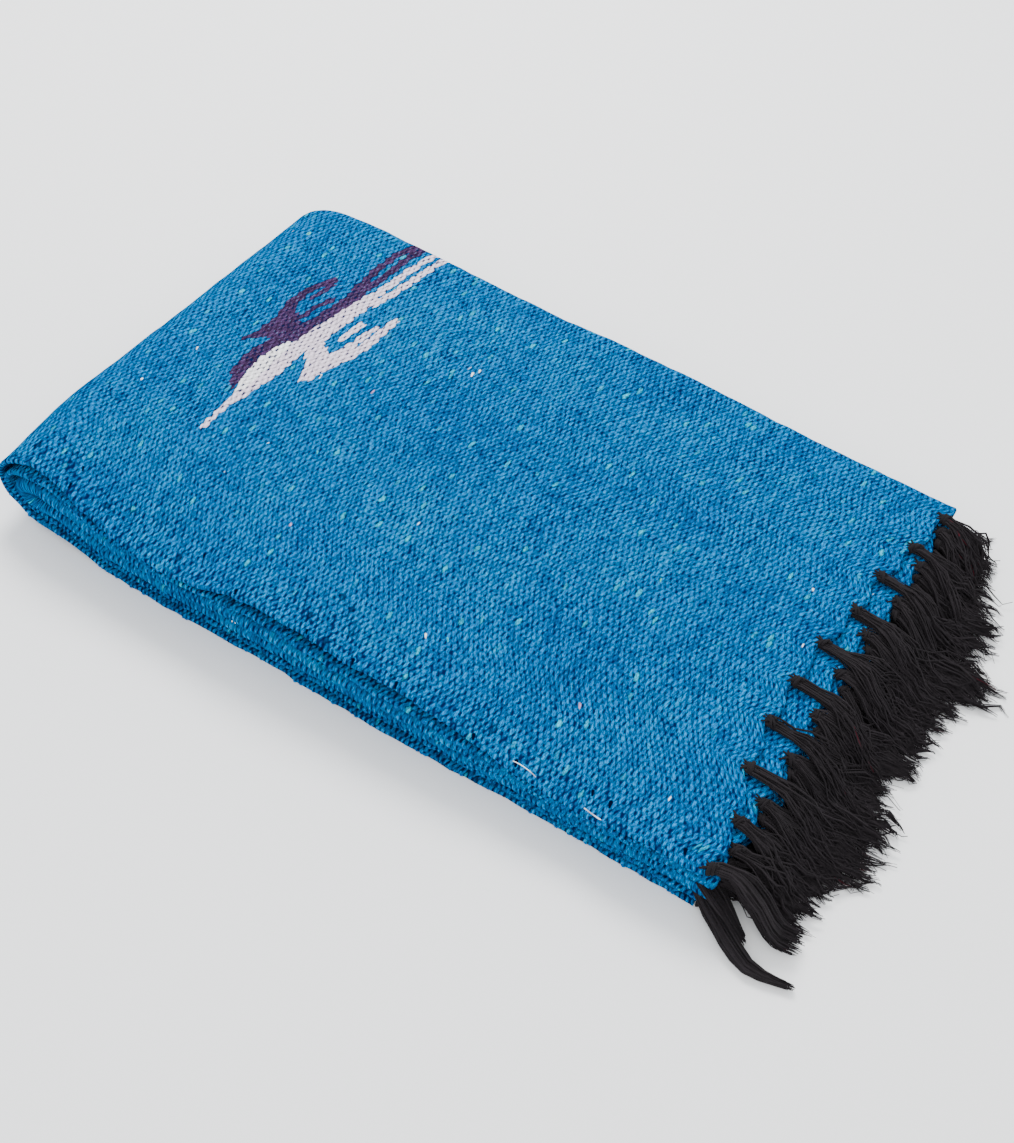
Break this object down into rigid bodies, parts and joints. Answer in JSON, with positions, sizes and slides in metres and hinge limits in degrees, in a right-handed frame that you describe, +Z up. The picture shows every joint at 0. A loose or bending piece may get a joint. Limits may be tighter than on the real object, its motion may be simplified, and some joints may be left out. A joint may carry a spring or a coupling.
{
  "type": "folded blanket",
  "caption": "Soft woven blanket with a small woven bird, folded flat into a long pack, with loose dark fringe at both cut ends.",
  "frame": {"origin": "centre of the whole part's box, on the surface the blanket rests on", "axes": "+X along the folded pack, from the fold towards the fringe; +Y across it, towards the side where the layers' bends lie; +Z up"},
  "size_m": [0.7054, 0.4114, 0.071],
  "materials": {
    "cloth": "matte",
    "fringe": "matte"
  },
  "bodies": {
    "root": {"cloth": "cloth", "fringe_upper": "fringe", "fringe_lower": "fringe"}
  },
  "joints": []
}
